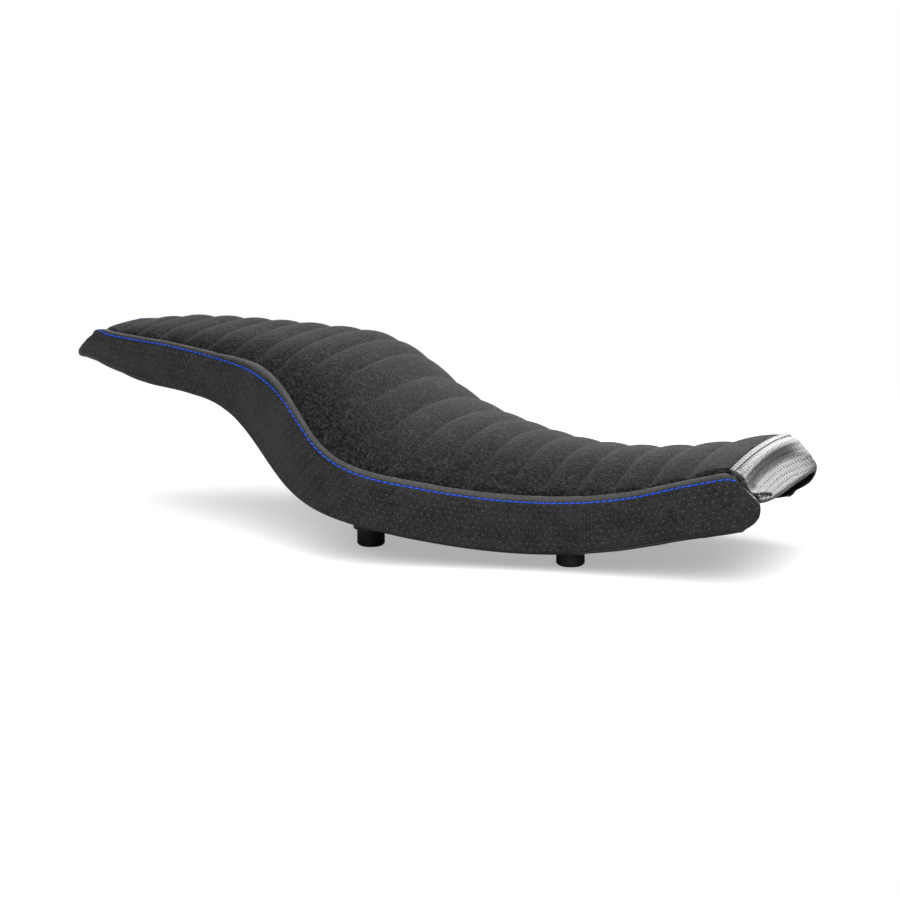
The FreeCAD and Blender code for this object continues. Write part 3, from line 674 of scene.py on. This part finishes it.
def makeNose():
    wide = float(halfAt(nose["widthAt"])) - nose["narrower"]
    rows, marks, tips = [], [], []
    for y in wide * crowdedAcross(nose["columns"], nose["crowd"]):
        line = noseProfile(y, wide)
        along = lengthsAlong(line)
        crest, heel = along[9], along[-18]  # middle of the first arc, start of the last
        cuts = spacedThrough([0, crest, heel, along[-2], along[-1]], nose["spaces"])
        rows.append(pointsAt(cuts, along, line))
        marks.append(cuts - crest)
        tips.append(along[int(np.argmax(line[:, 0]))] - crest)
    points, cuts = np.array(rows), np.array(marks)
    normal = gridNormals(points, nose["probe"], 0, 1)
    y = points[:, :, 1]
    move = noseRelief(cuts, y, wide, np.array(tips)[:, None])
    # the sides round off, then turn back into the seat
    rimRadius = nose["rimRadius"]
    edge = np.clip((np.abs(y) - (wide - rimRadius)) / rimRadius, 0, 1)
    move = move - rimRadius * (1 - np.sqrt(np.maximum(1 - edge ** 2, 0))) * smooth(cuts, -2, 4)
    points = points + normal * move[:, :, None]
    rims = []
    for j in (0, -1):
        inward = np.array(nose["rimWay"]) * [1, np.sign(points[j, 0, 1]), 1]
        rims.append(points[j] + inward * nose["rimDeep"] * smooth(cuts[j], -1, 6)[:, None])
    points = np.concatenate([[rims[0]], points, [rims[1]]])
    cuts, normal = [np.concatenate([a[:1], a, a[-1:]]) for a in (cuts, normal)]
    columns = list(range(2, points.shape[1], 6)) + [points.shape[1] - 1]
    inside = (points - normal * nose["skin"])[:, columns][:, ::-1]
    rings = np.concatenate([points, inside], axis=1)
    fromSide, fromCrest = nose["mapFrom"]
    uvRow = np.stack([points[:, :, 1] + fromSide, cuts + fromCrest], axis=2)
    uvs = np.concatenate([uvRow, uvRow[:, columns][:, ::-1]], axis=1) * mm
    made = tubeMesh("nosePanel", rings, uvs)
    row = int(np.argmin(np.abs(cuts[nose["probe"][0]] - nose["stitchAt"])))
    sewn = slice(nose["threadEnds"], -nose["threadEnds"])
    return made, points[sewn, row], normal[sewn, row]


def noseRelief(cuts, y, wide, tipCut):
    # stitch channel, and a fold that opens towards the band along the tip, with a ridge and then
    # a hollow above it
    channel = bell(cuts, nose["stitchAt"], nose["channelWidth"])
    move = -nose["channel"] * channel * (np.abs(y) < wide - nose["channelEnds"])
    t = np.clip((np.abs(y) - nose["slitEnd"]) / (wide - nose["slitEnd"]), 0, 1)
    size = np.where(y < 0, 1.0, nose["slitFar"])
    tall = nose["slitTall"] * t ** 0.8
    drop = tipCut - nose["slitUp"] - nose["slitFall"] * t
    slit = (1 - smooth(np.abs(cuts - drop), tall * 0.7, tall + 0.5)) * (t > 0)
    move = move - nose["slitDeep"] * slit * size * smooth(t, 0, 0.15)
    arch = bell(t, *nose["arch"])
    for sign, (height, up, width) in ((-1, nose["hollow"]), (1, nose["ridge"])):
        move = move + sign * height * bell(cuts, drop - up, width) * arch * size
    return move


class Wire:
    # a socket that can stand in an expression
    def __init__(self, nodes, socket):
        self.nodes, self.socket = nodes, socket

    def math(self, operation, *others):
        return self.nodes.math(operation, self, *others)

    def __add__(self, other):
        return self.math("ADD", other)

    def __mul__(self, other):
        return self.math("MULTIPLY", other)

    def __sub__(self, other):
        return self.math("SUBTRACT", other)

    def __rsub__(self, other):
        return self.nodes.math("SUBTRACT", other, self)

    def __truediv__(self, other):
        return self.math("DIVIDE", other)

    def __rtruediv__(self, other):
        return self.nodes.math("DIVIDE", other, self)

    __radd__ = __add__
    __rmul__ = __mul__

    def band(self, low, high, start=0, end=1):
        # a soft step between two values
        return self.nodes.add("ShaderNodeMapRange", {"interpolation_type": "SMOOTHSTEP"},
                              {"Value": self, "From Min": low, "From Max": high,
                               "To Min": start, "To Max": end})


class Nodes:
    # a node tree, and the one way in which nodes are added to it
    def __init__(self, tree):
        self.tree = tree

    def plug(self, socket, value):
        if isinstance(value, Wire):
            self.tree.links.new(value.socket, socket)
        elif socket.type == "RGBA" and len(value) == 3:
            socket.default_value = (*value, 1)
        else:
            socket.default_value = value

    def add(self, kind, settings=None, values=None, out=0):
        node = self.tree.nodes.new(kind)
        for key, value in (settings or {}).items():
            setattr(node, key, value)
        for key, value in (values or {}).items():
            self.plug(node.inputs[key], value)
        return Wire(self, node.outputs[out])

    def math(self, operation, *values):
        return self.add("ShaderNodeMath", {"operation": operation}, dict(enumerate(values)))


class Finish(Nodes):
    # one material and the nodes that make it
    sockets = {"color": "Base Color", "roughness": "Roughness", "metallic": "Metallic",
               "specular": "Specular IOR Level", "sheen": "Sheen Weight",
               "sheenRoughness": "Sheen Roughness", "sheenTint": "Sheen Tint",
               "coat": "Coat Weight", "coatRoughness": "Coat Roughness", "normal": "Normal"}

    def __init__(self, name, **values):
        self.material = bpy.data.materials.new(name)
        self.material.use_nodes = True
        super().__init__(self.material.node_tree)
        self.shader = self.tree.nodes["Principled BSDF"]
        for key, value in values.items():
            self.set(key, value)

    def set(self, key, value):
        self.plug(self.shader.inputs[self.sockets[key]], value)

    def place(self):
        return self.add("ShaderNodeTexCoord", out="Object")

    def along(self):
        # the way along a sewn piece and the way across it, in metres
        at = self.add("ShaderNodeUVMap", {"uv_map": "along"})
        split = self.add("ShaderNodeSeparateXYZ", None, {0: at}).socket.node
        return [Wire(self, split.outputs[axis]) for axis in ("X", "Y")]

    def noise(self, size, detail, rough):
        # size of the grain in metres
        return self.add("ShaderNodeTexNoise", None,
                        {"Vector": self.place(), "Scale": 1 / size, "Detail": detail,
                         "Roughness": rough}, "Fac")

    def blend(self, amount, low, high):
        # the colours of a Mix node are its sockets 6 and 7, and their mix is its output 2
        return self.add("ShaderNodeMix", {"data_type": "RGBA"}, {0: amount, 6: low, 7: high}, 2)

    def bump(self, height, strength, distance):
        self.set("normal", self.add("ShaderNodeBump", None, {"Height": height, "Strength": strength,
                                                             "Distance": distance}))


def tinted(color, share):
    return tuple(c * share for c in color)


# lengths in metres
suede = {"nap": 0.0032, "grain": 0.0018, "mottle": 0.012, "dark": (0.0005, 0.0005, 0.0005),
         "light": (0.036, 0.036, 0.0365), "sheen": 0.06}


def suedeFinish():
    made = Finish("blackSuede", roughness=0.95, specular=0.15, sheen=suede["sheen"],
                  sheenRoughness=0.45, sheenTint=(1.0, 1.0, 1.0))
    nap = made.noise(suede["nap"], 3, 0.75)
    grain = made.noise(suede["grain"], 1, 0.5)
    mottle = made.noise(suede["mottle"], 3, 0.6)
    tone = nap.band(0.45, 0.6) * 0.6 + grain.band(0.45, 0.58) * 0.4
    tone = tone * (mottle.band(0.3, 0.7) * 0.4 + 0.6)
    made.set("color", made.blend(tone, suede["dark"], suede["light"]))
    made.bump(nap * 0.7 + grain * 0.3, 0.8, 0.0016)
    return made.material


# edge is the paler colour of a painted highlight along the rolled edge and the strip above the
# stitches; the two lengths after it are where that painted highlight fades out across the band
vinyl = {"pitch": 0.006, "hole": 0.0006, "grain": 0.0019, "fine": 0.0027, "cloud": 0.02,
         "dark": (0.001, 0.001, 0.0011), "light": (0.029, 0.029, 0.0295),
         "edge": (0.09, 0.09, 0.091), "paintedHighlightEnds": (0.0095, 0.019), "holeGlintPaint": (0.08, 0.08, 0.082)}


def holesAt(u, v, pitch, radius):
    # staggered round holes, and the dimple round each
    tall = pitch * 3 ** 0.5
    away = []
    for shift in (0, 0.5):
        du = ((u / pitch + shift).math("FRACT") - 0.5) * pitch
        dv = ((v / tall + shift).math("FRACT") - 0.5) * tall
        away.append((du * du + dv * dv).math("SQRT"))
    nearest = away[0].math("MINIMUM", away[1])
    return 1 - nearest.band(radius * 0.75, radius * 1.25), 1 - nearest.band(radius, radius * 2.2)


def vinylFinish(name, specular=0.3, hole=vinyl["hole"], shine=0, paintRollHighlight=True):
    made = Finish(name, specular=specular)
    along, across = made.along()
    hole, dimple = holesAt(along, across, vinyl["pitch"], hole)
    if shine:
        made.set("coat", (1 - hole) * shine)
        made.set("coatRoughness", 0.34)
    cells = made.add("ShaderNodeTexVoronoi", {"feature": "DISTANCE_TO_EDGE"},
                     {"Vector": made.place(), "Scale": 1 / vinyl["grain"]}, "Distance")
    grain = cells.band(0.0, 0.25)
    cloud = made.noise(vinyl["cloud"], 3, 0.5)
    fine = made.noise(vinyl["fine"], 3, 0.75)
    mottle = cloud.band(0.3, 0.7) * 0.35 + fine.band(0.35, 0.65) * 0.65
    tone = made.blend(mottle, vinyl["dark"], vinyl["light"])
    if paintRollHighlight:  # a highlight is painted along the rolled edge: the vinyl there gets a paler colour that stands in for the light it catches
        edge = 1 - across.band(*vinyl["paintedHighlightEnds"])
        tone = made.blend(edge * 0.75, tone, vinyl["edge"])
    # the holes are painted paler than the vinyl around them, a painted glint of their rims
    made.set("color", made.blend(hole, tone, vinyl["holeGlintPaint"]))
    made.set("roughness", (cloud * 0.06 + fine * 0.16 + 0.31) + hole * 0.4)
    made.bump(grain * 0.45 + fine * 0.9 - dimple * 0.8, 0.9, 0.0012)
    return made.material


def threadFinish(name, color):
    made = Finish(name, roughness=0.6, specular=0.25)
    fray = made.noise(0.0006, 2, 0.6)
    made.set("color", made.blend(fray, tinted(color, 0.75), color))
    made.bump(fray, 0.4, 0.0002)
    return made.material


def mouldedFinish(name, color, roughness, grain, strength):
    made = Finish(name, specular=0.45)
    spark = made.noise(grain, 3, 0.6)
    wear = made.noise(0.03, 3, 0.6)
    made.set("color", made.blend(wear, tinted(color, 0.8), tinted(color, 1.3)))
    made.set("roughness", wear * 0.15 + (roughness - 0.07))
    made.bump(spark, strength, grain * 0.4)
    return made.material


def metalFinish(name, color, roughness):
    made = Finish(name, metallic=1.0)
    scratch = made.noise(0.0015, 4, 0.7)
    cloud = made.noise(0.008, 2, 0.5)
    made.set("color", made.blend(cloud, tinted(color, 0.8), color))
    made.set("roughness", scratch * 0.2 + (roughness - 0.1))
    made.bump(scratch, 0.15, 0.0001)
    return made.material


def foamFinish():
    made = Finish("foam", roughness=1.0, specular=0.1)
    cells = made.add("ShaderNodeTexVoronoi", None, {"Vector": made.place(), "Scale": 900},
                     "Distance")
    made.set("color", made.blend(cells, (0.30, 0.28, 0.24), (0.55, 0.52, 0.45)))
    made.bump(cells, 0.6, 0.001)
    return made.material


def dress(made, material):
    made.data.materials.clear()
    made.data.materials.append(material)


# foam core, from its solid
core = {"voxel": 5, "shrink": 0.8, "behindNose": 20, "front": 318, "frontLean": 16,
        "leanFrom": (62, 80)}


def makeFoam():
    made = linked("foamCore", nodes["foam_core"].data.copy())
    remesh = made.modifiers.new("remesh", "REMESH")
    remesh.mode = "VOXEL"
    remesh.voxel_size = core["voxel"] * mm
    shrink = made.modifiers.new("shrink", "DISPLACE")
    shrink.strength = -core["shrink"] * mm
    shrink.mid_level = 0
    evaluated = made.evaluated_get(bpy.context.evaluated_depsgraph_get())
    mesh = bpy.data.meshes.new_from_object(evaluated)
    made.modifiers.clear()
    made.data = mesh
    spots = cornersOf(mesh) / mm
    # clear of the nose's dish
    lean = core["front"] + core["frontLean"] * smooth(spots[:, 2], *core["leanFrom"])
    front = np.minimum(chiselNose(spots[:, 2]) - core["behindNose"], lean)
    spots[:, 0] = np.minimum(spots[:, 0], front)
    # settled and swept up with its cover
    x, share = spots[:, 0], np.abs(spots[:, 1]) / halfAt(spots[:, 0])
    high = (spots[:, 2] - baseAt(x)) / (crownAt(x, 0.98 * spots[:, 1]) - baseAt(x))
    sunk = np.minimum(settledAt(x, share), 0) * smooth(high, 0.1, 0.8)
    spots[:, 2] += sunk + tailLift(x) * (1 - smooth(high, 0, 0.5))
    moveCorners(mesh, spots * mm)
    shadeSmooth(mesh)
    return made


# pan and staples, drawn in with the cover at the two ends
drawIn = {"noseFrom": 300, "noseShare": 0.45, "tailShare": 0.07, "tailFrom": (245, 295),
          "liftFades": 20}


def drawnIn(name, node):
    made = linked(name, nodes[node].data.copy())
    spots = cornersOf(made.data) / mm
    x, start = spots[:, 0].copy(), drawIn["noseFrom"]
    spots[:, 0] = np.where(x > start, start + (x - start) * drawIn["noseShare"], x)
    spots[:, 1] *= 1 - drawIn["tailShare"] * smooth(-x, *drawIn["tailFrom"])
    fade = np.clip((spots[:, 2] - baseAt(x)) / drawIn["liftFades"], 0, 1)
    spots[:, 2] += tailLift(x) * (1 - fade)
    moveCorners(made.data, spots * mm)
    return made


# floor, sky and lamps, in metres
stage = {"floor": 3.0, "pale": 0.85, "bounce": 0.32, "clear": (0.42, 0.95), "share": 0.4,
         "sky": (0, 0.6, 0.8), "skyEnds": (-0.1, 0.9), "dim": 0.16, "bright": 0.85, "white": 1.0,
         "aim": (0, 0, 0.08)}
lamps = {
    "backSoftbox": {"at": (0.5, 2.0, 0.85), "size": (2.4, 0.9), "power": 66, "onFloor": False},
    "keySoftbox": {"at": (0.8, -1.3, 1.35), "size": (1.8, 1.6), "power": 44, "onFloor": False},
    "floorSoftbox": {"at": (0.05, -0.45, 1.5), "size": (3.2, 2.8), "power": 95, "onFloor": True}}


def makeFloor():
    half = stage["floor"]
    mesh = bpy.data.meshes.new("floor")
    mesh.from_pydata([(-half, -half, 0), (half, -half, 0), (half, half, 0), (-half, half, 0)], [],
                     [(0, 1, 2, 3)])
    floor = linked("floor", mesh)
    made = Finish("paleFloor", roughness=0.9, specular=0.1)
    seen = made.add("ShaderNodeLightPath", out="Is Camera Ray")
    made.set("color", made.blend(seen, (stage["bounce"],) * 3, (stage["pale"],) * 3))
    spread = made.add("ShaderNodeVectorMath", {"operation": "LENGTH"}, {0: made.place()}, "Value")
    # no shadow far off
    share = spread.band(*stage["clear"]) * (1 - stage["share"]) + stage["share"]
    glow = made.add("ShaderNodeEmission", None, {"Color": (1, 1, 1), "Strength": 1.0})
    mixed = made.add("ShaderNodeMixShader", None,
                     {0: seen * share, 1: Wire(made, made.shader.outputs[0]), 2: glow})
    made.plug(made.tree.nodes["Material Output"].inputs["Surface"], mixed)
    dress(floor, made.material)
    return floor


def makeSky():
    # brighter overhead and behind than along the front, plain white where it is seen
    world = bpy.context.scene.world or bpy.data.worlds.new("world")
    bpy.context.scene.world = world
    world.use_nodes = True
    sky = Nodes(world.node_tree)
    way = sky.add("ShaderNodeTexCoord", out="Generated")
    up = sky.add("ShaderNodeVectorMath", {"operation": "DOT_PRODUCT"},
                 {0: way, 1: stage["sky"]}, "Value")
    seen = sky.add("ShaderNodeLightPath", out="Is Camera Ray")
    light = up.band(*stage["skyEnds"], stage["dim"], stage["bright"])
    strength = sky.add("ShaderNodeMix", None, {"Factor": seen, "A": light, "B": stage["white"]},
                       "Result")
    back = sky.tree.nodes["Background"]
    sky.plug(back.inputs["Color"], (1, 1, 1))
    sky.plug(back.inputs["Strength"], strength)


def makeLamps(floor):
    # one softbox lights the floor alone, and the others everything but the floor
    onFloor, offFloor = [bpy.data.collections.new(name) for name in ("onFloor", "offFloor")]
    for piece in bpy.context.scene.objects:
        if piece.type == "MESH":
            (onFloor if piece is floor else offFloor).objects.link(piece)
    for name, lamp in lamps.items():
        light = bpy.data.lights.new(name, "AREA")
        light.shape = "RECTANGLE"
        light.size, light.size_y = lamp["size"]
        light.energy = lamp["power"]
        made = linked(name, light)
        made.location = lamp["at"]
        made.light_linking.receiver_collection = onFloor if lamp["onFloor"] else offFloor
        lookAlong(made, Vector(stage["aim"]) - Vector(lamp["at"]))


makeCamera()
print("camera set")

top = makeTop()
dress(top, suedeFinish())
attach(top, "root")
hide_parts("top_panel", "foam_topper")
print("pleated top made")

vinylLook = vinylFinish("bandVinyl")
blueThread = threadFinish("blueThread", (0.008, 0.11, 0.95))
for name, node, side in (("bandRight", "side_band_right", -1), ("bandLeft", "side_band_left", 1)):
    made, path, out = makeBand(name, side)
    dress(made, vinylLook)
    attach(made, "root")
    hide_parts(node)
    stitches = stitchesAlong(name + "Stitches", path, out, band["pitch"], thread["radius"])
    dress(stitches, blueThread)
    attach(stitches, "root")
print("bands and stitches made")

panel, path, out = makeNose()
dress(panel, vinylFinish("noseVinyl", specular=0.12, hole=0.001, shine=0.34, paintRollHighlight=False))
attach(panel, "root")
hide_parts("nose_panel")
seam = stitchesAlong("noseStitches", path, out, nose["pitch"], nose["threadRadius"])
dress(seam, threadFinish("darkThread", (0.012, 0.012, 0.014)))
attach(seam, "root")
print("nose panel made")

foam = makeFoam()
dress(foam, foamFinish())
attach(foam, "root")
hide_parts("foam_core")
print("foam core made")

panLook = mouldedFinish("panPlastic", (0.02, 0.02, 0.02), 0.55, 0.0008, 0.3)
zincLook = metalFinish("zinc", (0.55, 0.56, 0.58), 0.35)
for name, node, look, slot in (("basePan", "base_pan", panLook, "pan_plastic"),
                               ("staplesRight", "staples_right", zincLook, "zinc_steel"),
                               ("staplesLeft", "staples_left", zincLook, "zinc_steel")):
    bent = drawnIn(name, node)
    dress(bent, look)
    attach(bent, "root")
    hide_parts(node)
print("pan and staples drawn in")

rubberLook = mouldedFinish("bumperRubber", (0.008, 0.008, 0.008), 0.6, 0.0011, 0.35)
paintLook = mouldedFinish("blackPaint", (0.015, 0.015, 0.016), 0.4, 0.0007, 0.2)
brassLook = metalFinish("brassInsert", (0.62, 0.45, 0.2), 0.35)
looks = {"front_hook": paintLook, "rear_tab": paintLook, "bumper_washers": zincLook,
         "bumper_screws": zincLook, "front_hook_screws": zincLook, "rear_tab_screws": zincLook,
         "threaded_inserts": brassLook}
for node in nodes:
    if node.startswith(("bumper_front", "bumper_rear")):
        looks[node] = rubberLook
for node, look in looks.items():
    dress(nodes[node], look)
print("hardware dressed")

floor = makeFloor()
makeSky()
makeLamps(floor)
print("floor and lamps set")
bpy.context.scene.view_settings.view_transform = "Standard"
bpy.context.view_layer.update()
